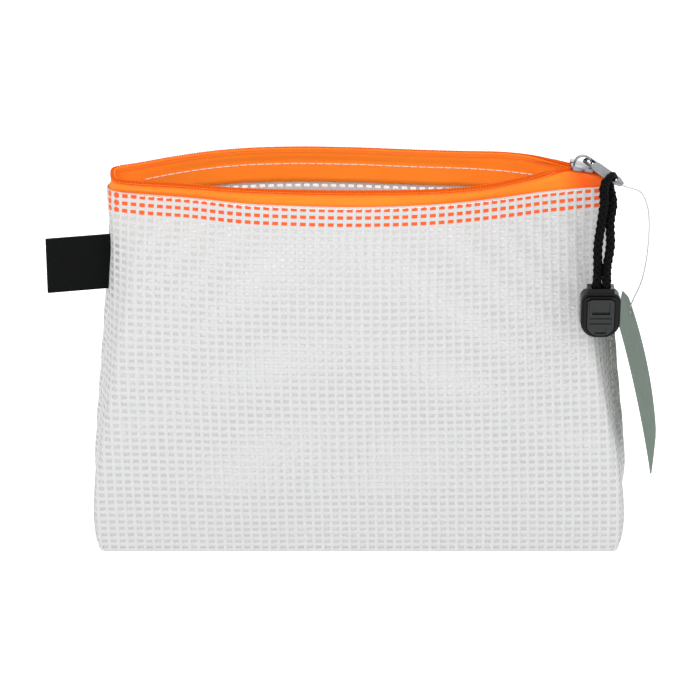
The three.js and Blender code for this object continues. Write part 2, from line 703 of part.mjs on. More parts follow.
function cordEndLid() {
  const front = -CORD_END_THICKNESS / 2;
  const w = LID.width / 2 - CLEARANCE;
  const h = LID.height / 2 - CLEARANCE;
  const s = SIGHT.width / 2;
  const outline = roundedShape(-w, -h, w, h, [3.3, 3.3, 0.4, 0.4]);
  let lid = toSolid(upright(outline, front - 0.3, front + LID.depth - CLEARANCE));
  const frame = roundedShape(-s - 0.8, 0.6, s + 0.8, SIGHT.height + 2.2, Array(4).fill(0.7));
  lid = lid.add(toSolid(upright(frame, front - 0.9, front)));
  const sight = roundedShape(-s, 1.4, s, SIGHT.height + 1.4, Array(4).fill(0.5));
  lid = lid.subtract(toSolid(upright(sight, front - 2, front + 0.2)));
  [-0.5, -2.3].forEach((z) => {
    lid = lid.add(toSolid(box(-w + 0.8, w - 0.8, front - 0.75, front, z - 0.35, z + 0.35)));
  });
  lid = lid.subtract(toSolid(box(-1.9, 1.9, front - 1, front + 0.4, -h + 0.5, -h + 2.6)));
  return placeCordEnd(toGeometry(lid).translate(0, 0, -LID.drop / 2));
}

// Hang tag and its filament

function hangTag() {
  const x0 = TAG_HOLE_IN - TAG_WIDTH;
  const y1 = TAG_HOLE_DOWN;
  const card = new THREE.Shape([
    new THREE.Vector2(x0, y1 - TAG_LENGTH),
    new THREE.Vector2(TAG_HOLE_IN, y1 - TAG_LENGTH),
    new THREE.Vector2(TAG_HOLE_IN, y1 - TAG_CORNER),
    new THREE.Vector2(TAG_HOLE_IN - TAG_CORNER, y1),
    new THREE.Vector2(x0, y1),
  ]);
  const hole = new THREE.Path();
  hole.absarc(0, 0, TAG_HOLE / 2, 0, 2 * Math.PI, true);
  card.holes.push(hole);
  const geometry = prism(card, TAG_CARD, 6).translate(0, 0, -TAG_CARD / 2);
  const across = new THREE.Vector3(Math.sin(rad(TAG_TURN)), Math.cos(rad(TAG_TURN)), 0);
  const up = new THREE.Vector3(-Math.sin(rad(TAG_LEAN)), 0, Math.cos(rad(TAG_LEAN)));
  up.addScaledVector(across, -up.dot(across)).normalize();
  const turn = new THREE.Matrix4().makeBasis(across, up, across.clone().cross(up));
  turn.setPosition(TAG_HOLE_AT);
  return geometry.applyMatrix4(turn);
}

function tagFilament() {
  const points = [
    tabPlace(TAB_REACH + CLEARANCE, 0, 0),
    tabPlace(TAB_REACH + 2.2, 0, 0.6),
    fromSlider(19.1, -7.6, -5.2),
    fromSlider(21.5, -6, -10.1),
    fromSlider(22.5, -3.6, -16.6),
    fromSlider(22.6, -0.4, -24.6),
    fromSlider(22, 3.4, -33.6),
    fromSlider(20.6, 7, -42.1),
    fromSlider(18.9, 9.8, -49.6),
    TAG_HOLE_AT,
  ];
  return tube(points, FILAMENT, FILAMENT_SIDES, FILAMENT_STEPS);
}

// Materials and the assembly

function finish(color, roughness, metalness, opacity = 1) {
  return new THREE.MeshStandardMaterial({ color, roughness, metalness, opacity, transparent: opacity < 1 });
}

const FINISHES = {
  vinyl: finish(0xe6e8ea, 0.35, 0, 0.7),
  tape: finish(0xfa8c32, 0.8, 0),
  coil: finish(0xe65a14, 0.5, 0),
  zinc: finish(0xb4b6b8, 0.3, 1),
  cord: finish(0x17171a, 0.85, 0),
  moulding: finish(0x35383a, 0.45, 0),
  label: finish(0x202022, 0.8, 0),
  card: finish(0x8a9a88, 0.7, 0),
  nylon: finish(0xd8dadc, 0.3, 0, 0.8),
};

function piece(name, geometry, material) {
  const flat = geometry.index ? geometry.toNonIndexed() : geometry;
  flat.computeVertexNormals();
  const mesh = new THREE.Mesh(flat, material);
  mesh.name = name;
  return mesh;
}

const pouch = new THREE.Group();
pouch.add(
  piece('front_panel', wallPanel(-1), FINISHES.vinyl),
  piece('back_panel', wallPanel(1), FINISHES.vinyl),
  piece('base_panel', basePanel(), FINISHES.vinyl),
  piece('left_seam_allowance', seamAllowance(-1), FINISHES.vinyl),
  piece('right_seam_allowance', seamAllowance(1), FINISHES.vinyl),
  piece('front_zip_tape', zipTape(-1), FINISHES.tape),
  piece('back_zip_tape', zipTape(1), FINISHES.tape),
  piece('front_zip_coil', zipCoil(-1), FINISHES.coil),
  piece('back_zip_coil', zipCoil(1), FINISHES.coil),
  piece('woven_label', wovenLabel(), FINISHES.label),
);

const slider = new THREE.Group();
slider.add(
  piece('zip_slider', zipSlider(), FINISHES.zinc),
  piece('pull_tab', pullTab(), FINISHES.zinc),
  piece('pull_cord', pullCord(), FINISHES.cord),
  piece('cord_end_body', cordEndBody(), FINISHES.moulding),
  piece('cord_end_lid', cordEndLid(), FINISHES.moulding),
  piece('tag_filament', tagFilament(), FINISHES.nylon),
  piece('hang_tag', hangTag(), FINISHES.card),
);

const assembly = new THREE.Group();
assembly.add(pouch, slider);

export default assembly;
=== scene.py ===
import math

import bmesh
import bpy
import numpy as np
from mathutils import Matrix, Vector


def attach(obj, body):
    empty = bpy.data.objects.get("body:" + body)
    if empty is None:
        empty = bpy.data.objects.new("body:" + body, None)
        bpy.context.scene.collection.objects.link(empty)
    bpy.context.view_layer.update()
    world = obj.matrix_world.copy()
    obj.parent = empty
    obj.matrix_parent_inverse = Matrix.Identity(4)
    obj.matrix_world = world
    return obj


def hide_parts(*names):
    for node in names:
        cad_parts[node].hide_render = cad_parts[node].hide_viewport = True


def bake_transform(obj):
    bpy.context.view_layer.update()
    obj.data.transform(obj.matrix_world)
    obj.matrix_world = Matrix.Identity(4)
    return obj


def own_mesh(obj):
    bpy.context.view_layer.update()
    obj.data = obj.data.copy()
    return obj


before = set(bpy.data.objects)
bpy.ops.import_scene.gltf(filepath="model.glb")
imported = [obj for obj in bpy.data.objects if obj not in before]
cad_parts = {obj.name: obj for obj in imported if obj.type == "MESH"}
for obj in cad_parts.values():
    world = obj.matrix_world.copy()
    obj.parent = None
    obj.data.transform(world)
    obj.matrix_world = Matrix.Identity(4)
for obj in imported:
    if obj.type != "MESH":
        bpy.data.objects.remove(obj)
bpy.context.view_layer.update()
scene = bpy.context.scene
MM = 0.001

# ---------------------------------------------------------------- camera and cords
LENS = 150.5
DISTANCE = 0.990
ELEVATION = math.radians(22.5)
LOOK_AT = Vector((-0.003, 0.0, 0.0652))

camera_data = bpy.data.cameras.new("camera")
camera_data.lens = LENS
camera_data.sensor_width = 36
camera_data.clip_end = 20
camera = bpy.data.objects.new("camera", camera_data)
scene.collection.objects.link(camera)
camera.location = LOOK_AT + DISTANCE * Vector((0, -math.cos(ELEVATION), math.sin(ELEVATION)))
camera.rotation_euler = (math.pi / 2 - ELEVATION, 0, 0)
scene.camera = camera

# The pull cord: one braided length, up the right side, through the tab's hole,
# over its edge and down the left side.
CORD_DIAMETER = 3.4
CORD_POINTS = [
    (81.1, -19.6, 91.2), (81.1, -19.6, 96.9), (81.4, -16.4, 101.5), (82.5, -13.6, 108.0),
    (82.4, -10.8, 115.0), (83.3, -8.2, 121.0), (82.33, -4.70, 126.36), (83.13, -5.26, 128.55),
    (83.32, -6.13, 129.7), (82.55, -7.79, 130.2), (81.26, -8.9, 129.2), (80.3, -8.8, 127.0),
    (80.2, -10.9, 121.0), (79.4, -12.2, 115.0), (78.4, -14.2, 107.5), (78.4, -16.6, 101.0),
    (78.0, -19.6, 96.9), (78.0, -19.6, 91.2),
]
# The nylon filament: from the tab's tip, round the right end of the mouth and down to the tag's hole.
FILAMENT_DIAMETER = 0.6
FILAMENT_POINTS = [
    (86.50, -7.62, 126.72), (88.12, -8.76, 126.49), (92.4, -7.6, 124.4), (94.8, -6.0, 119.5),
    (96.0, -3.6, 113.0), (96.4, -0.4, 105.0), (96.3, 3.4, 96.0), (95.4, 7.0, 87.5),
    (93.3, 9.8, 80.0), (91.4, 11.0, 74.4),
]

# ---------------------------------------------------------------- sizes, in millimetres
PANEL_TOP = 124.2
HALF_BASE = (88.0, 21.6)
HALF_MOUTH = (82.5, 22.0)
BASE_CORNER = 2.0
FOLD = 0.6
YARN_ACROSS = 3.02
YARN_DOWN = 2.47
WARP_WIDTH = 1.1
WEFT_WIDTH = 1.4
YARN_THICK = 0.5
FILM_THICK = 0.26
TAPE_FOOT = 117.3
TAPE_THICK = 0.45
ZIP_LEVEL = 129.1
MOUTH_INSET = 0.825
SLIDER_AT = (73.3, 0.0, 129.6)
SLIDER_TILT = math.radians(12)
COIL_PITCH = 0.9
COIL_WIRE = 0.4
COIL_REACH = 0.5
COIL_RISE = 0.3
COIL_THREAD_RADIUS = 0.13
SEAM_PLY_WIDTH = 6.5
SEAM_PLY_THICK = 0.9
SEAM_DRAW = 2.3
BACK_BULGES = (0.9, 1.7)
WAVES = (0.25, 0.16)
STITCH_PITCH = 2.9
STITCH_RADIUS = 0.2
STITCHES_FROM_LEFT = 15
STITCHES_FROM_RIGHT = 8
HALF_SHEET = 118.4

# The zip's open line seen from above, as shares of the mouth's half length and half depth.
ZIP_RIM = {
    -1: [(-0.995, 0), (-0.991, 0.2), (-0.972, 0.44), (-0.9, 0.55), (-0.73, 0.66), (-0.49, 0.87), (-0.22, 0.98),
         (0.05, 1), (0.32, 0.93)],
    1: [(-0.995, 0), (-0.988, 0.1), (-0.96, 0.19), (-0.9, 0.3), (-0.77, 0.59), (-0.62, 0.86), (-0.46, 1.03),
        (-0.26, 1.1), (-0.03, 1.06), (0.24, 0.94), (0.44, 0.87)],
}
# The top edge of each wall, likewise. The front one lies a few millimetres inside its coil along most of its
# length, and both reach a little past the coils at the left end.
WALL_RIM = {
    -1: [(-1.006, 0), (-1.002, 0.13), (-0.972, 0.26), (-0.857, 0.38), (-0.657, 0.55), (-0.457, 0.79), (-0.255, 0.9),
         (-0.03, 0.95), (0.17, 0.91), (0.364, 0.78), (0.565, 0.53), (0.74, 0.27), (0.865, 0.14), (0.966, 0.07),
         (0.99, 0.03), (1, 0)],
    1: [(-1.006, 0), (-0.999, 0.1), (-0.968, 0.19), (-0.9, 0.3), (-0.77, 0.59), (-0.62, 0.86), (-0.46, 1.03),
        (-0.26, 1.1), (-0.03, 1.06), (0.24, 0.94), (0.44, 0.87), (0.6, 0.74), (0.76, 0.5), (0.88, 0.3),
        (0.96, 0.17), (0.99, 0.08), (1, 0)],
}
# The run in to the slider: shares of the way along it, and of the way still out.
RUN_IN = {-1: ((0.34, 0.85), (0.6, 0.52), (0.82, 0.19)), 1: ((0.36, 0.86), (0.62, 0.62), (0.84, 0.28))}
WALLS = {-1: "front", 1: "back"}

# ---------------------------------------------------------------- materials


def linear(code):
    """The linear colour of an sRGB hex code."""
    parts = [int(code[i:i + 2], 16) / 255 for i in (1, 3, 5)]
    return [p / 12.92 if p <= 0.04045 else ((p + 0.055) / 1.055) ** 2.4 for p in parts] + [1]


def node(tree, kind, settings=(), links=()):
    """Adds a node. settings: a socket or property and its value; links: a socket and what feeds it."""
    made = tree.nodes.new(kind)
    for name, value in dict(settings).items():
        if isinstance(name, int) or name in made.inputs:
            made.inputs[name].default_value = value
        else:
            setattr(made, name, value)
    for name, source in dict(links).items():
        tree.links.new(source, made.inputs[name])
    return made


def finish_of(name, colour, grain=None, mottle=None, **values):
    """A Principled material, its tree and its shader.
    grain: the scale and detail of its relief, how strong and how deep it is in metres.
    mottle: the scale and detail of its patches, and their darker and lighter colour."""
    made = bpy.data.materials.new(name)
    made.use_nodes = True
    tree = made.node_tree
    shader = tree.nodes["Principled BSDF"]
    shader.inputs["Base Color"].default_value = linear(colour)
    for key, value in values.items():
        shader.inputs[key.replace("_", " ")].default_value = value
    place = node(tree, "ShaderNodeTexCoord").outputs["Object"]
    if grain:
        scale, detail, strength, depth = grain
        relief = node(tree, "ShaderNodeTexNoise", {"Scale": scale, "Detail": detail}, {"Vector": place})
        raised = node(tree, "ShaderNodeBump", {"Strength": strength, "Distance": depth},
                      {"Height": relief.outputs["Fac"]})
        tree.links.new(raised.outputs["Normal"], shader.inputs["Normal"])
    if mottle:
        scale, detail, dark, light = mottle
        patches = node(tree, "ShaderNodeTexNoise", {"Scale": scale, "Detail": detail}, {"Vector": place})
        mixed = node(tree, "ShaderNodeMix", {"data_type": "RGBA", 6: linear(dark), 7: linear(light)},
                     {0: patches.outputs["Fac"]})
        tree.links.new(mixed.outputs[2], shader.inputs["Base Color"])
    return made, tree, shader


# Frosted plasticised vinyl film, pressed over both faces of the scrim: milky, with a faint pebble.
FILM, *_ = finish_of("frosted_vinyl_film", "#F1F1EF", grain=(130, 2, 0.15, 0.0004), Roughness=0.5, Alpha=0.45, IOR=1.4)

# Polyester scrim yarn, white, sealed under the same vinyl: satin, with the yarn's fine twist.
YARN, *_ = finish_of("sealed_scrim_yarn", "#D6D6D6", grain=(900, 2, 0.2, 0.0002), Roughness=0.5, IOR=1.45)

# The seams' turned-in plies, two sheets deep and bound with cream thread: paler and warmer than the wall.
PLIES, *_ = finish_of("bound_seam_plies", "#EDE8E2", grain=(700, 2, 0.3, 0.0002), Roughness=0.6)

# Woven polyester zip tape, dyed orange: fine ribs along its length. It is thin, and light comes through it; a painted
# glow (orange emission) stands in for that light.
TAPE, tree, shader = finish_of("zip_tape_weave_painted_glow", "#FF8A2A", mottle=(60, 2, "#FF7F1E", "#FF902C"),
                               Roughness=0.8, Specular_IOR_Level=0.2,
                               Emission_Color=linear("#FF8A2A"), Emission_Strength=0.2)
# The tape's flat map is in millimetres. Ribs 0.57 mm apart and picks 0.39 mm apart, as coarse as show here.
place = node(tree, "ShaderNodeUVMap").outputs["UV"]
ribs = node(tree, "ShaderNodeTexWave", {"Scale": 0.55, "bands_direction": "Y"}, {"Vector": place})
picks = node(tree, "ShaderNodeTexWave", {"Scale": 0.8, "bands_direction": "X"}, {"Vector": place})
weave = node(tree, "ShaderNodeMath", {"operation": "MULTIPLY"}, {0: ribs.outputs["Fac"], 1: picks.outputs["Fac"]})
raised = node(tree, "ShaderNodeBump", {"Strength": 0.4, "Distance": 0.0002}, {"Height": weave.outputs["Value"]})
tree.links.new(raised.outputs["Normal"], shader.inputs["Normal"])
# At the closed end the two tapes lie on each other, and less light comes through: painted shade mixes the base colour
# there towards a deeper red-orange.
dyed = shader.inputs["Base Color"].links[0].from_socket
along = node(tree, "ShaderNodeSeparateXYZ", (), {"Vector": place}).outputs["X"]
closed_end_shade_mask = node(tree, "ShaderNodeMapRange", {"From Min": -17, "From Max": -9}, {"Value": along})
# Painted shade: the base colour darkens to red-orange towards the closed end.
deeper = node(tree, "ShaderNodeMix", {"data_type": "RGBA", 7: linear("#F0561A")},
              {0: closed_end_shade_mask.outputs["Result"], 6: dyed})
tree.links.new(deeper.outputs[2], shader.inputs["Base Color"])

# The same tape seen through the vinyl that is pressed on it, as a wet cloth looks: deeper and redder.
WET_TAPE, *_ = finish_of("tape_under_vinyl", "#F8601E", mottle=(80, 2, "#F55818", "#FB6A26"),
                         Roughness=0.5, Specular_IOR_Level=0.3)

# Nylon monofilament coil, dyed a deeper orange: smooth, with little shine between its close loops.
COIL, *_ = finish_of("nylon_zip_coil", "#F0640E", mottle=(90, 2, "#EC5E0C", "#F66C12"),
                     Roughness=0.6, Specular_IOR_Level=0.06)

# White polyester sewing thread: a faint twist.
THREAD, *_ = finish_of("white_sewing_thread", "#F6F2EC", grain=(2500, 1, 0.3, 0.0001),
                       mottle=(300, 2, "#F0ECE6", "#FAF6F0"), Roughness=0.6)

# Orange sewing thread that holds the coil on its tape: a faint twist.
COIL_THREAD, *_ = finish_of("orange_sewing_thread", "#FA8028", grain=(2500, 1, 0.3, 0.0001),
                            mottle=(300, 2, "#F47820", "#FF8A32"), Roughness=0.65)

# Zinc die casting with bright nickel plating: soft gloss, with painted shade that darkens its corners and recesses.
ZINC, tree, shader = finish_of("nickel_plated_zinc_painted_shade", "#A9ABAE", grain=(260, 2, 0.12, 0.0002),
                               Metallic=1.0, Roughness=0.27)
# Painted shade: an ambient occlusion mask mixes the base colour to near black in corners and recesses.
corners = node(tree, "ShaderNodeAmbientOcclusion", {"Distance": 0.003, "samples": 6})
painted_corner_shade = node(tree, "ShaderNodeMix", {"data_type": "RGBA", 6: linear("#0A0B0C"), 7: linear("#848689")},
               {0: corners.outputs["AO"]})
tree.links.new(painted_corner_shade.outputs[2], shader.inputs["Base Color"])

# Black braided polyester cord: each strand is a bundle of fine fibres, matt.
BRAID, *_ = finish_of("black_braided_cord", "#040405", grain=(3500, 3, 0.5, 0.0002),
                      mottle=(1200, 2, "#020203", "#0B0C0E"), Roughness=0.55, Specular_IOR_Level=0.07)

# Injection-moulded plastic with a satin mould finish.
MOULDING, *_ = finish_of("satin_moulded_plastic", "#040505", grain=(1500, 2, 0.12, 0.0001),
                         Roughness=0.26, Specular_IOR_Level=0.17)

# The same plastic on the lid, glossier, and painted a lighter colour as a painted sheen.
LID, *_ = finish_of("moulded_plastic_painted_sheen", "#0D0F10", grain=(1500, 2, 0.1, 0.0001),
                    Roughness=0.24, Specular_IOR_Level=0.38)

# Woven damask label ribbon, left blank: matt, with a fine weave.
LABEL, *_ = finish_of("woven_label_ribbon", "#090A0B", grain=(1200, 2, 0.3, 0.0002),
                      Roughness=0.8, Specular_IOR_Level=0.1)

# Uncoated pulp board, dyed grey green: a mottled, matt face.
CARD, *_ = finish_of("dyed_pulp_card", "#8A9A88", mottle=(220, 5, "#6C7B70", "#7F8C81"),
                     Roughness=0.85, Specular_IOR_Level=0.2)

# Clear nylon monofilament: smooth, and partly see-through.
NYLON, *_ = finish_of("clear_nylon_filament", "#C9CDD0", grain=(900, 2, 0.1, 0.0001), Roughness=0.25, Alpha=0.7)

# ---------------------------------------------------------------- lines


def lengths(line):
    return np.concatenate([[0], np.cumsum(np.linalg.norm(np.diff(line, axis=0), axis=1))])


def evenly(line, steps):
    run = lengths(line)
    at = np.linspace(0, run[-1], steps + 1)
    return np.stack([np.interp(at, run, line[:, k]) for k in range(line.shape[1])], axis=1)


def smooth_line(points, steps):
    """A centripetal Catmull-Rom curve through the points, as steps + 1 places at even lengths."""
    p = np.asarray(points, float)
    p = np.vstack([2 * p[0] - p[1], p, 2 * p[-1] - p[-2]])
    out = []
    for i in range(1, len(p) - 2):
        p0, p1, p2, p3 = p[i - 1:i + 3]
        d0, d1, d2 = [max(np.linalg.norm(b - a) ** 0.5, 1e-4) for a, b in ((p0, p1), (p1, p2), (p2, p3))]
        t1 = ((p1 - p0) / d0 - (p2 - p0) / (d0 + d1) + (p2 - p1) / d1) * d1
        t2 = ((p2 - p1) / d1 - (p3 - p1) / (d1 + d2) + (p3 - p2) / d2) * d1
        for t in np.linspace(0, 1, 60, endpoint=False):
            out.append(p1 + t1 * t + (3 * p2 - 3 * p1 - 2 * t1 - t2) * t ** 2
                       + (2 * p1 - 2 * p2 + t1 + t2) * t ** 3)
    out.append(p[-2])
    return evenly(np.array(out), steps)


def directions(line):
    along = np.gradient(line, axis=0)
    return along / np.linalg.norm(along, axis=1)[:, None]


def sides_of(line):
    """Two directions square to a line all the way along it, without twist."""
    along = directions(line)
    side = np.cross(along[0], (0, 0, 1))
    if np.linalg.norm(side) < 0.1:
        side = np.cross(along[0], (0, 1, 0))
    sides = []
    for t in along:
        side = side - t * np.dot(side, t)
        side /= np.linalg.norm(side)
        sides.append(side.copy())
    return np.array(sides), np.cross(along, np.array(sides))


def pick(values, at, run):
    """Values along a line at the given lengths of its run."""
    return np.stack([np.interp(at, run, values[:, k]) for k in range(values.shape[1])], -1)


def smoothstep(x):
    x = np.clip(x, 0, 1)
    return x * x * (3 - 2 * x)


# ---------------------------------------------------------------- pieces


def piece_of(name, mesh, finish):
    mesh.materials.clear()
    mesh.materials.append(finish)
    mesh.polygons.foreach_set("use_smooth", [True] * len(mesh.polygons))
    made = bpy.data.objects.new(name, mesh)
    scene.collection.objects.link(made)
    return made


def sheet(name, places, finish, is_gap=None, crown=None, laid=None):
    """A sheet whose points lie at places[row, column], in millimetres. is_gap(row, column) says which cells
    are cut out, crown(row, column) how thick each point stands, and laid gives its flat map in millimetres."""
    rows, columns = places.shape[:2]
    work = bmesh.new()
    weight = work.verts.layers.deform.verify()
    flat = work.loops.layers.uv.new("flat")
    bmesh.ops.create_grid(work, x_segments=columns - 1, y_segments=rows - 1, size=1)

    def cell(spot):
        return (spot.y + 1) / 2 * (rows - 1), (spot.x + 1) / 2 * (columns - 1)

    if laid is not None:
        for face in work.faces:
            for loop in face.loops:
                i, j = cell(loop.vert.co)
                loop[flat].uv = laid[round(i), round(j)]
    if is_gap:
        cells = [(face, cell(face.calc_center_median())) for face in work.faces]
        cut = [face for face, (i, j) in cells if is_gap(int(i), int(j))]
        bmesh.ops.delete(work, geom=cut, context="FACES_ONLY")
    for vert in work.verts:
        i, j = (round(c) for c in cell(vert.co))
        if crown:
            vert[weight][0] = crown(i, j)
        vert.co = places[i, j] * MM
    bmesh.ops.remove_doubles(work, verts=work.verts, dist=0.00001)
    bmesh.ops.dissolve_degenerate(work, edges=work.edges, dist=0.00001)
    mesh = bpy.data.meshes.new(name)
    work.to_mesh(mesh)
    work.free()
    made = piece_of(name, mesh, finish)
    if crown:
        made.vertex_groups.new(name="crown")
    return made


def round_lines(name, lines, radius, finish, roundness=1):
    """Round threads or wires along lines in millimetres, as one mesh."""
    curve = bpy.data.curves.new(name, "CURVE")
    curve.dimensions = "3D"
    curve.bevel_depth = radius * MM
    curve.bevel_resolution = roundness
    curve.use_fill_caps = True
    for line in lines:
        spline = curve.splines.new("POLY")
        spline.points.add(len(line) - 1)
        spline.points.foreach_set("co", np.column_stack([line * MM, np.ones(len(line))]).ravel())
    drawn = bpy.data.objects.new(name, curve)
    scene.collection.objects.link(drawn)
    mesh = bpy.data.meshes.new_from_object(drawn.evaluated_get(bpy.context.evaluated_depsgraph_get()))
    bpy.data.objects.remove(drawn)
    bpy.data.curves.remove(curve)
    mesh.name = name
    return piece_of(name, mesh, finish)


def thicken(made, thickness, least=None):
    solid = made.modifiers.new("thickness", "SOLIDIFY")
    solid.thickness = thickness * MM
    solid.offset = 0
    if least is not None:
        solid.vertex_group = "crown"
        solid.thickness_vertex_group = least
    return made


def joined(name, parts):
    bpy.ops.object.select_all(action="DESELECT")
    for part in parts:
        part.select_set(True)
    bpy.context.view_layer.objects.active = parts[0]
    bpy.ops.object.join()
    parts[0].name = parts[0].data.name = name
    return parts[0]


# ---------------------------------------------------------------- the walls' shape


def half_length(z):
    s, r = z / PANEL_TOP, z / 22
    return HALF_BASE[0] + (HALF_MOUTH[0] - HALF_BASE[0]) * s + 3 * r * math.exp(1 - r) + 3 * s * (1 - s)


def half_depth(z):
    r = z / 32
    return HALF_BASE[1] + (HALF_MOUTH[1] - HALF_BASE[1]) * z / PANEL_TOP + 3 * r * math.exp(1 - r)


def base_outline(steps):
    (a, b), r = HALF_BASE, BASE_CORNER
    turn = np.linspace(0, math.pi / 2, 24)
    left = [(-a + r - r * math.cos(t), b - r + r * math.sin(t)) for t in turn]
    right = [(-x, y) for x, y in reversed(left)]
    return evenly(np.array([(-a, 0), *left, *right, (a, 0)]), steps)


OUTLINE_STEPS = 520
LOW = base_outline(OUTLINE_STEPS) / HALF_BASE
HIGH = {side: smooth_line([(u * HALF_MOUTH[0], v * HALF_MOUTH[1], 0) for u, v in rim],
                          OUTLINE_STEPS)[:, :2] / HALF_MOUTH for side, rim in WALL_RIM.items()}


def seam_pull(z):
    """How strongly the stiff side seams draw the ends in at this height, from 0 to 1."""
    return float(smoothstep(z / 22) * smoothstep((PANEL_TOP - z) / 22))


def outline(side, z, inset=0.0):
    """Half outline of the pouch at a height, from the left seam to the right one: x, and depth from the seams."""
    level = min(max(z, 0), PANEL_TOP)
    w = (level / PANEL_TOP) ** 1.3
    shape = (1 - w) * LOW + w * HIGH[side]
    x, y = shape[:, 0] * half_length(level), np.maximum(shape[:, 1] * half_depth(level), 0.02)
    near = np.clip(np.abs(shape[:, 0]) * 6 - 5, 0, 1)
    if side < 0:
        drawn = -SEAM_DRAW * np.exp(-(y / 9) ** 2)
    else:
        bulge = np.where(x < 0, *BACK_BULGES)
        drawn = -SEAM_DRAW * np.exp(-(y / 3) ** 2) + bulge * (y / 7) * np.exp(1 - y / 7)
    x = x + np.sign(x) * near * drawn * seam_pull(level)
    line = np.stack([x, y], 1)
    if inset:
        along = directions(line)
        line = line + inset * np.stack([along[:, 1], -along[:, 0]], 1)
        line[:, 1] = np.maximum(line[:, 1], 0.02)
    return line


WALL_DROP = PANEL_TOP - FOLD
LAST_DROP = WALL_DROP + FOLD * math.pi / 2


def level_at(drop):
    """Height and inset of a row this far down the wall from its top edge, round the fold at its foot."""
    if drop <= WALL_DROP:
        return PANEL_TOP - drop, 0.0
    turn = min((drop - WALL_DROP) / FOLD, math.pi / 2)
    return FOLD - FOLD * math.sin(turn), FOLD * (1 - math.cos(turn))


def ripple(s, drop, side):
    """Slight waves of the sheet, in millimetres outwards."""
    fade = smoothstep(drop / 25) * smoothstep((PANEL_TOP - drop) / 12)
    wave = WAVES[0] * np.sin(s / 17 + side * 1.3 + drop / 60) * np.sin(drop / 19 + 0.8 * side)
    wave = wave + WAVES[1] * np.sin(s / 9.5 + drop / 14 + 2.1 * side)
    return fade * wave


def on_wall(side, z, inset, columns, offset=0.0, drop=None):
    """Places on a wall at one height, at distances from its centre line, offset outwards."""
    line = outline(side, z, inset)
    run, along = lengths(line), directions(line)
    at = np.clip(run[-1] / 2 + columns, 0, run[-1])
    spot, way = pick(line, at, run), pick(along, at, run)
    out = offset
    if drop is not None:
        out = out + ripple(columns, drop, side) * smoothstep(np.minimum(at, run[-1] - at) / 12)
    spot = spot + np.stack([-way[:, 1] * out, way[:, 0] * out], 1)
    return np.stack([spot[:, 0], side * np.maximum(spot[:, 1], 0.02), np.full(len(at), z)], 1)


def wall_places(side, columns, drops):
    return np.array([on_wall(side, *level_at(drop), columns, drop=drop) for drop in drops])


def yarn_stops(count, pitch, width, start):
    """Edges and middle of each yarn, three stops each."""
    return np.array([start + k * pitch + e for k in range(count) for e in (-width / 2, 0, width / 2)])


WARPS = 79
COLUMN_STOPS = yarn_stops(WARPS, YARN_ACROSS, WARP_WIDTH, -(WARPS - 1) / 2 * YARN_ACROSS)
ROW_STOPS = yarn_stops(52, YARN_DOWN, WEFT_WIDTH, 0)
ROW_STOPS = np.append(ROW_STOPS[(ROW_STOPS >= 0) & (ROW_STOPS < LAST_DROP - 0.05)], LAST_DROP)


def wall_scrim(side, name):
    return sheet(
        name, wall_places(side, COLUMN_STOPS, ROW_STOPS), YARN,
        is_gap=lambda i, j: i % 3 == 1 and j % 3 == 2,
        crown=lambda i, j: 1.0 if j % 3 == 1 else 0.55 if i % 3 == 0 else 0.0,
    )


# The vinyl reaches from seam to seam; what is left over at its ends lies in the seam.
FILM_COLUMNS = np.linspace(-HALF_SHEET, HALF_SHEET, 200)


def tape_window(side, name):
    """The vinyl over the tape's foot, in the first three rows of cells."""
    return sheet(name, wall_places(side, FILM_COLUMNS, np.linspace(0.2, PANEL_TOP - TAPE_FOOT, 7)), WET_TAPE)


def wall_film(side, name):
    drops = np.append(np.linspace(PANEL_TOP - TAPE_FOOT, WALL_DROP, 29), [LAST_DROP - 0.5, LAST_DROP])
    return sheet(name, wall_places(side, FILM_COLUMNS, drops), FILM)


# The front and back faces are cut from the boxed ends and the base along the plane that each face lies in when the
# mouth is closed; the ends and the base keep their shape.
CLOSING_FOOT = 21.5
LEAN = math.atan((CLOSING_FOOT - 0.15) / PANEL_TOP)
CLOSING = {side: Vector((0, -side * math.cos(LEAN), -math.sin(LEAN))) for side in WALLS}


def split_off_ends(made, side):
    """Leaves in made what lies outside the closing plane, and gives the rest as its own piece."""
    rest = made.copy()
    rest.data = made.data.copy()
    scene.collection.objects.link(rest)
    for target, outer in ((made, True), (rest, False)):
        work = bmesh.new()
        work.from_mesh(target.data)
        cut = bmesh.ops.bisect_plane(
            work, geom=work.verts[:] + work.edges[:] + work.faces[:],
            plane_co=(0, side * CLOSING_FOOT * MM, 0), plane_no=-CLOSING[side],
            clear_inner=outer, clear_outer=not outer,
        )["geom_cut"]
        for edge in cut:
            if isinstance(edge, bmesh.types.BMEdge):
                edge.smooth = False
        work.to_mesh(target.data)
        work.free()
    return rest


def base_places(xs, ys):
    rows = []
    for y in ys:
        r = BASE_CORNER - FOLD
        corner = max(abs(y) - (HALF_BASE[1] - BASE_CORNER), 0)
        reach = HALF_BASE[0] - BASE_CORNER + math.sqrt(max(r * r - corner * corner, 0))
        rows.append(np.stack([np.clip(xs, -reach, reach), np.full(len(xs), y), np.full(len(xs), 0.0)], 1))
    return np.array(rows)


scrim_rest, film_rest, flattening = [], [], []
for side, word in WALLS.items():
    scrim = wall_scrim(side, word + "_scrim")
    scrim_rest.append(split_off_ends(scrim, side))
    film = wall_film(side, word + "_film")
    film_rest.append(split_off_ends(film, side))
    window = tape_window(side, word + "_tape_window")
    film_rest.append(split_off_ends(window, side))
    flattening += [(scrim, side), (film, side), (window, side)]
    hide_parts(word + "_panel")

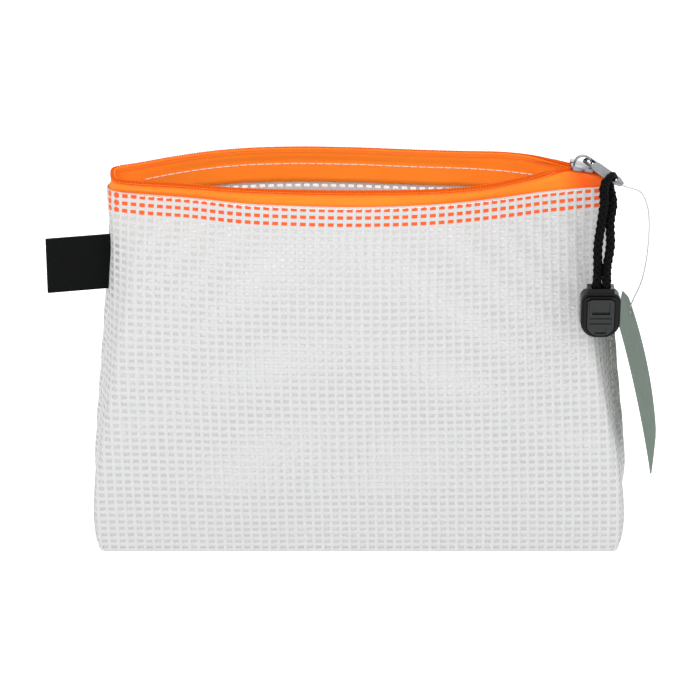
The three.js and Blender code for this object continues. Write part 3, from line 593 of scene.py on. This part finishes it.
BASE_REACH = HALF_BASE[1] - FOLD
base_stops = yarn_stops(15, YARN_DOWN, WEFT_WIDTH, -7 * YARN_DOWN)
base_stops = np.concatenate([[-BASE_REACH], base_stops[np.abs(base_stops) < BASE_REACH - 0.1], [BASE_REACH]])


def base_gap(i, j):
    middle = (base_stops[i] + base_stops[i + 1]) / 2 / YARN_DOWN
    return j % 3 == 2 and abs(middle - round(middle)) * YARN_DOWN > WEFT_WIDTH / 2


base_scrim = sheet("base_scrim", base_places(COLUMN_STOPS, base_stops), YARN, is_gap=base_gap,
                   crown=lambda i, j: 1.0 if j % 3 == 1 else 0.4)
base_film = sheet("base_film", base_places(np.linspace(-88, 88, 60), np.linspace(-BASE_REACH, BASE_REACH, 21)), FILM)
still_scrim = joined("base_and_end_scrim", [base_scrim] + scrim_rest)
still_film = joined("base_and_end_film", [base_film] + film_rest)
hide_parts("base_panel")

# ---------------------------------------------------------------- side seams


def seam_x(z):
    return outline(-1, z)[-1, 0]


def seam_plies(end, name):
    zs = np.arange(4, 116, 1.2)
    across = np.linspace(0.4, SEAM_PLY_WIDTH, 7)
    places = np.array([[(end * (seam_x(z) - w), 0.35 * math.sin(z / 8) * w / SEAM_PLY_WIDTH, z) for w in across]
                       for z in zs])
    return thicken(sheet(name, places, PLIES), SEAM_PLY_THICK)


for end, word in ((-1, "left"), (1, "right")):
    plies = seam_plies(end, word + "_seam_plies")
    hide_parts(word + "_seam_allowance")
    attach(plies, "pouch")


def seam_stitches(end, name):
    lines = []
    for z in np.arange(6, 116, STITCH_PITCH):
        zs = z + np.linspace(0, STITCH_PITCH - 1.0, 4)
        lines.append(np.array([(end * (seam_x(h) + 0.3), -0.8, h) for h in zs]))
    return round_lines(name, lines, 0.22, THREAD)


for end, word in ((-1, "left"), (1, "right")):
    sewing = seam_stitches(end, word + "_seam_stitches")
    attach(sewing, "pouch")

# ---------------------------------------------------------------- zip


def slider_place(along, across, up):
    c, s = math.cos(SLIDER_TILT), math.sin(SLIDER_TILT)
    return np.array([SLIDER_AT[0] + along * c + up * s, across, SLIDER_AT[2] - along * s + up * c])


class ZipLine:
    """The line of one coil, and at each place on it the way to the coil's tip and to its face.
    It is worked out for the front half of the mouth; facing() turns places to the side that they belong to."""

    def __init__(self, side):
        self.side = side
        fx, fy = HALF_MOUTH[0] - MOUTH_INSET, HALF_MOUTH[1] - MOUTH_INSET
        points = [np.array([u * fx, -max(v * fy, 0.3 if i == 0 else 0), ZIP_LEVEL])
                  for i, (u, v) in enumerate(ZIP_RIM[side])]
        shoulder, wide = slider_place(-4, -2.3, 0), points[-1]
        for a, b in RUN_IN[side]:
            points.append(np.array([wide[0] + (shoulder[0] - wide[0]) * a, shoulder[1] + (wide[1] - shoulder[1]) * b,
                                    wide[2] + (shoulder[2] - wide[2]) * a]))
        points += [shoulder] + [slider_place(a, -1.05, 0) for a in (0.5, 2, 4, 5.6)]
        self.line = smooth_line(points + [slider_place(7.6, -1.05, -0.55)], 1600)
        self.run = lengths(self.line)
        along = directions(self.line)
        turn = smoothstep((self.line[:, 0] - 53.3) / 15.0) * math.pi / 2
        lean = np.stack([0 * turn, np.sin(turn), np.cos(turn)], 1)
        tip = lean - along * np.sum(lean * along, 1)[:, None]
        self.tip = tip / np.linalg.norm(tip, axis=1)[:, None]
        self.face = np.cross(along, self.tip)

    def at(self, share):
        where = np.asarray(share) * self.run[-1]
        return [pick(v, where, self.run) for v in (self.line, self.tip, self.face)]

    def facing(self, places):
        return np.array(places, float) * (1, -self.side, 1)


def tape_seat(side, share, z, outwards=-MOUTH_INSET):
    line = outline(side, z)
    run, along = lengths(line), directions(line)
    at = share * run[-1]
    x, y = pick(line, at, run)
    way = pick(along, at, run)
    return np.array([x - outwards * way[1], -(y + outwards * way[0]), z])


def bezier(a, b, c, d, t):
    return (1 - t) ** 3 * a + 3 * (1 - t) ** 2 * t * b + 3 * (1 - t) * t * t * c + t ** 3 * d


TAPE_SHARES = np.linspace(0, 0.996, 221)


def tape_places(zip_line):
    """The tape runs up the inner side of its coil and hangs down to where it is sewn inside the wall."""
    rows = []
    centres, tips, faces = zip_line.at(TAPE_SHARES)
    for share, centre, tip, face in zip(TAPE_SHARES, centres, tips, faces):
        seat, brim = tape_seat(zip_line.side, share, TAPE_FOOT), tape_seat(zip_line.side, share, PANEL_TOP)
        back = -0.5 * face
        edge = [centre + tip * 0.45 + back, centre + back, centre - tip * 0.7 + back]
        shoulder = centre - tip * 1.6 + back * 0.5
        reach = np.linalg.norm(shoulder - brim) / 3
        rise = (brim - seat) / np.linalg.norm(brim - seat) * reach
        line = edge + [bezier(shoulder, shoulder - tip * reach, brim + rise, brim, t)
                       for t in (0, 0.15, 0.3, 0.45, 0.6, 0.8, 1)]
        rows.append(line + [brim + (seat - brim) * t for t in (0.25, 0.5, 0.75, 1)])
    places = np.array(rows)
    # It bulges round the slider's rear corner.
    bulge = np.exp(-((places[:, :, 0] - 77.6) / 2.6) ** 2 - ((places[:, :, 2] - 128.4) / 1.8) ** 2)
    bulge[:, :3] = 0
    places[:, :, 1] = np.minimum(places[:, :, 1] - 0.8 * bulge, -0.15)
    places[0, :, 1] = 0
    return places


def half_zip(side, word):
    zip_line = ZipLine(side)
    places = tape_places(zip_line)
    across = lengths(places[110])
    laid = np.array([[((share - 1) * zip_line.run[-1], a) for a in across] for share in TAPE_SHARES])
    tape = thicken(sheet(word + "_tape", zip_line.facing(places), TAPE, laid=laid), TAPE_THICK)
    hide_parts(word + "_zip_tape")

    loops = round(zip_line.run[-1] / COIL_PITCH)
    share = np.linspace(0, 1, loops * 12 + 1)
    angle = 2 * math.pi * loops * share
    centre, tip, face = zip_line.at(share)
    loop_line = centre + tip * (COIL_REACH * np.cos(angle))[:, None]
    loop_line = loop_line + face * (0.15 + COIL_RISE * np.sin(angle))[:, None]
    coil = round_lines(word + "_coil", [zip_line.facing(loop_line)], COIL_WIRE, COIL)
    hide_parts(word + "_zip_coil")

    # Two rows of thread that hold the coil on its tape.
    centre, tip, face = zip_line.at(np.linspace(0.008, 0.9, 640))
    rows = [zip_line.facing(centre + tip * up + face * out) for up in (-0.15, -0.95) for out in (0.66, -0.78)]
    return tape, coil, round_lines(word + "_coil_sewing", rows, COIL_THREAD_RADIUS, COIL_THREAD)


for side, word in WALLS.items():
    tape, coil, rows = half_zip(side, word)
    for made, anchor, keep, slot in (
        (tape, 0.9, 0.06, "zip_tape"), (coil, 1.05, 0.02, "zip_coil"), (rows, 1.05, 0.03, "zip_coil"),
    ):
        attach(made, "pouch")
        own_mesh(made)

# ---------------------------------------------------------------- stitches that hold the tapes


def tape_stitches(side, word):
    """A row of lockstitches just under the wall's top edge, on the wall's outer face and the tape's inner face."""
    z = PANEL_TOP - 0.6
    run = lengths(outline(side, z))[-1]
    lines = []
    for k in range(int((run - STITCHES_FROM_LEFT - STITCHES_FROM_RIGHT) / STITCH_PITCH)):
        at = -run / 2 + STITCHES_FROM_LEFT + k * STITCH_PITCH + np.linspace(0, STITCH_PITCH - 0.5, 6)
        dip = np.array([0.25, 0.05, 0, 0, 0.05, 0.25])
        lines.append(on_wall(side, z, 0, at, 0.4 - dip))
        inner = on_wall(side, z, 0, at, -1.2 + dip)
        if np.abs(inner[:, 1]).min() > 1.5:
            lines.append(inner)
    return round_lines(word + "_tape_stitches", lines, STITCH_RADIUS, THREAD)


for side, word in WALLS.items():
    flattening.append((tape_stitches(side, word), side))

for made, side in flattening:
    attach(made, "pouch")
    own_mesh(made)
for made in [m for m, _ in flattening] + [still_scrim, still_film]:
    if "scrim" in made.name:
        thicken(made, YARN_THICK, 0.5)
    elif "film" in made.name or "window" in made.name:
        thicken(made, FILM_THICK).modifiers["thickness"].use_rim = False
    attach(made, "pouch")

# ---------------------------------------------------------------- label
LABEL_Z = 97.5
LABEL_HALF = 9.5
LABEL_REACH = 22.0
LABEL_THICK = 0.4
LABEL_SWEEP = math.radians(13)
SEAM_DEPTH = 4.5


def label():
    """A ribbon folded at its outer end, with both ends caught in the left seam."""
    root = np.array([-seam_x(LABEL_Z), 0])
    away = np.array([-math.cos(LABEL_SWEEP), -math.sin(LABEL_SWEEP)])
    across = np.array([-away[1], away[0]])
    legs = []
    for offset in (-LABEL_THICK, LABEL_THICK):
        leg = [root + (SEAM_DEPTH, -offset), root + (0, -offset)]
        leg += [root + away * (LABEL_REACH - LABEL_THICK) * t + across * offset for t in np.linspace(0.12, 1, 12)]
        legs.append(leg)
    nose = [root + away * (LABEL_REACH - LABEL_THICK + LABEL_THICK * math.cos(t)) + across * LABEL_THICK * math.sin(t)
            for t in np.linspace(-1.2, 1.2, 5)]
    line = np.array(legs[0] + nose + legs[1][::-1])
    zs = LABEL_Z + LABEL_HALF * np.array([-1, -0.96, -0.9, -0.6, -0.3, 0, 0.3, 0.6, 0.9, 0.96, 1])
    run = lengths(line)
    places = np.array([[(x, y, z) for x, y in line] for z in zs])
    laid = np.array([[(r, z) for r in run] for z in zs])
    return thicken(sheet("folded_label", places, LABEL, laid=laid), LABEL_THICK), run[-1]


ribbon, ribbon_length = label()
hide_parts("woven_label")
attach(ribbon, "pouch")


def label_end():
    """The ribbon's sewn-in end, pressed against the inside of the front wall, in the cells next to the seam."""
    rows = []
    for z in np.linspace(LABEL_Z - LABEL_HALF, LABEL_Z + LABEL_HALF, 17):
        reach = lengths(outline(-1, z))[-1] / 2
        rows.append(on_wall(-1, z, 0, np.linspace(0.7, 9.3, 12) - reach, -0.06, drop=PANEL_TOP - z))
    return sheet("label_sewn_end", np.array(rows), LABEL)


sewn_end = label_end()
sewn_root = split_off_ends(sewn_end, -1)
sewn_root.name = sewn_root.data.name = "label_sewn_root"
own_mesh(sewn_end)
for made in (sewn_end, sewn_root):
    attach(made, "pouch")

# ---------------------------------------------------------------- cast and moulded solids


def dress(name, finish, edge_width):
    """A rigid CAD solid, kept, with its edges eased and its real finish."""
    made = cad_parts[name]
    made.data.materials.clear()
    made.data.materials.append(finish)
    made.data.polygons.foreach_set("use_smooth", [True] * len(made.data.polygons))
    weld = made.modifiers.new("weld", "WELD")
    weld.merge_threshold = 0.00001
    edge = made.modifiers.new("edge", "BEVEL")
    edge.width = edge_width * MM
    edge.segments = 2
    edge.limit_method = "ANGLE"
    edge.angle_limit = math.radians(35)
    made.modifiers.new("normals", "WEIGHTED_NORMAL")
    return made


dress("zip_slider", ZINC, 0.14)
dress("pull_tab", ZINC, 0.12)
cord_end = [dress("cord_end_body", MOULDING, 0.3),
            dress("cord_end_lid", LID, 0.12)]
TAG_HOLE_AT = Vector((0.0914, 0.011, 0.0744))
TAG_ACROSS = Vector((math.sin(math.radians(8.5)), math.cos(math.radians(8.5)), 0))
TAG_UP = Vector((-math.sin(math.radians(13.3)), 0, math.cos(math.radians(13.3))))
TAG_SIZE = (30, 57)
TAG_CORNER_AT = (-26, 8)
TAG_BOW = 2.4


def bowed_tag():
    """The card as the CAD solid has it, with its far long edge bowed outwards."""
    work = bmesh.new()
    work.from_mesh(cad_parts["hang_tag"].data)
    bmesh.ops.remove_doubles(work, verts=work.verts, dist=0.00001)
    for way, start, reach, cuts in ((TAG_UP, TAG_CORNER_AT[1], -TAG_SIZE[1], 18),
                                    (TAG_ACROSS, TAG_CORNER_AT[0], TAG_SIZE[0], 6)):
        for k in range(1, cuts):
            bmesh.ops.bisect_plane(work, geom=work.verts[:] + work.edges[:] + work.faces[:], plane_no=way,
                                   plane_co=TAG_HOLE_AT + way * (start + reach * k / cuts) * MM)
    outwards = TAG_ACROSS.cross(TAG_UP)
    for vert in work.verts:
        local = (vert.co - TAG_HOLE_AT) / MM
        across = (local.dot(TAG_ACROSS) - TAG_CORNER_AT[0]) / TAG_SIZE[0]
        down = min(max((TAG_CORNER_AT[1] - local.dot(TAG_UP)) / TAG_SIZE[1], 0), 1)
        vert.co += outwards * TAG_BOW * MM * (0.4 + 0.6 * max(across, 0)) * math.sin(math.pi * down) ** 0.7
    mesh = bpy.data.meshes.new("bowed_hang_tag")
    work.to_mesh(mesh)
    work.free()
    made = piece_of("bowed_hang_tag", mesh, CARD)
    edge = made.modifiers.new("edge", "BEVEL")
    edge.width = 0.08 * MM
    edge.limit_method = "ANGLE"
    edge.angle_limit = math.radians(50)
    made.modifiers.new("normals", "WEIGHTED_NORMAL")
    return made


tag = bowed_tag()
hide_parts("hang_tag")
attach(tag, "tag")
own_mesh(tag)

# ---------------------------------------------------------------- pull cord
BRAID_STRANDS = 8
BRAID_PITCH = 9.0
# Shares of the cord's width: each strand's radius, and how far the cord gives way over the tab's edge.
STRAND_SHARE = 0.18
SQUEEZE_SHARE = 0.45
SQUEEZE_REACH = 3
WEAVE_DEPTH = 0.16


def braid(name, path, diameter):
    """Half of the strands run one way round, half the other, and each passes over one and under the next.
    The cord is squeezed where it bends over the tab's edge, at its highest place."""
    run = lengths(path)
    u, v = sides_of(path)
    wire = diameter * STRAND_SHARE
    squeezed = 1 - SQUEEZE_SHARE * np.exp(-((run - run[np.argmax(path[:, 2])]) / SQUEEZE_REACH) ** 2)
    mean = (diameter / 2 - wire - WEAVE_DEPTH) * squeezed
    half = BRAID_STRANDS // 2
    lines = []
    for hand in (1, -1):
        for k in range(half):
            turned = 2 * math.pi * run / BRAID_PITCH
            angle = 2 * math.pi * k / half + hand * turned
            radius = mean + hand * WEAVE_DEPTH * np.cos(half * turned)
            lines.append(path + u * (radius * np.cos(angle))[:, None] + v * (radius * np.sin(angle))[:, None])
    return round_lines(name, lines, wire, BRAID)


cord_path = smooth_line(CORD_POINTS, 240)
cord = braid("braided_pull_cord", cord_path, CORD_DIAMETER)
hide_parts("pull_cord")
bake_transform(cord)

# ---------------------------------------------------------------- filament
filament_path = smooth_line(FILAMENT_POINTS, 90)
filament = round_lines("nylon_tag_filament", [filament_path], FILAMENT_DIAMETER / 2, NYLON, 2)
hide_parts("tag_filament")
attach(filament, "tag")
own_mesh(filament)

# ---------------------------------------------------------------- floor, light and background
scene.view_settings.view_transform = "Standard"
scene.cycles.transparent_max_bounces = 16
scene.cycles.max_bounces = 12
scene.cycles.diffuse_bounces = 8


def glow_where_seen(tree):
    """1 for rays that come straight from the camera, or by way of metal and glass, and 0 for others."""
    rays = node(tree, "ShaderNodeLightPath")
    seen = node(tree, "ShaderNodeMath", {"operation": "MAXIMUM"},
                {0: rays.outputs["Is Camera Ray"], 1: rays.outputs["Is Glossy Ray"]})
    seen = node(tree, "ShaderNodeMath", {"operation": "MAXIMUM"},
                {0: seen.outputs[0], 1: rays.outputs["Is Transmission Ray"]})
    return seen.outputs[0]


floor_mesh = bpy.data.meshes.new("floor")
work = bmesh.new()
bmesh.ops.create_grid(work, x_segments=1, y_segments=1, size=4)
bmesh.ops.translate(work, vec=(0, 0, -0.0003), verts=work.verts)
work.to_mesh(floor_mesh)
work.free()
floor = bpy.data.objects.new("floor", floor_mesh)
scene.collection.objects.link(floor)
# Matt white paper sweep: it shows the pouch's soft shadow and is white elsewhere.
PAPER = bpy.data.materials.new("white_paper_sweep")
PAPER.use_nodes = True
tree = PAPER.node_tree
tree.nodes.clear()
paper = node(tree, "ShaderNodeBsdfDiffuse", {"Color": (0.8, 0.8, 0.8, 1)})
glow = node(tree, "ShaderNodeEmission", {"Color": (1, 1, 1, 1)}, {"Strength": glow_where_seen(tree)})
half_glow = node(tree, "ShaderNodeMixShader", {0: 0.62}, {1: paper.outputs[0], 2: glow.outputs[0]})
both = node(tree, "ShaderNodeAddShader", (), {0: half_glow.outputs[0], 1: paper.outputs[0]})
node(tree, "ShaderNodeOutputMaterial", (), {"Surface": both.outputs[0]})
floor_mesh.materials.append(PAPER)

world = bpy.data.worlds.new("studio")
scene.world = world
world.use_nodes = True
tree = world.node_tree
tree.nodes.clear()
white = node(tree, "ShaderNodeBackground", {"Color": (1, 1, 1, 1), "Strength": 1.0})
room = node(tree, "ShaderNodeBackground", {"Color": (0.97, 0.985, 1, 1), "Strength": 0.6})
mix = node(tree, "ShaderNodeMixShader", (), {0: glow_where_seen(tree), 1: room.outputs[0], 2: white.outputs[0]})
node(tree, "ShaderNodeOutputWorld", (), {"Surface": mix.outputs[0]})


def softbox(name, place, aim, size, power):
    data = bpy.data.lights.new(name, "AREA")
    data.size = size
    data.energy = power
    made = bpy.data.objects.new(name, data)
    scene.collection.objects.link(made)
    made.location = place
    made.rotation_euler = (Vector(aim) - Vector(place)).to_track_quat("-Z", "Y").to_euler()


softbox("key", (-0.3, -1.15, 0.95), (0, 0, 0.06), 1.1, 9.5)
softbox("fill", (0.8, -0.7, 0.8), (0, 0, 0.06), 1.0, 1.2)
softbox("back", (0.1, 1.2, 0.9), (0, 0, 0.06), 1.1, 5.5)
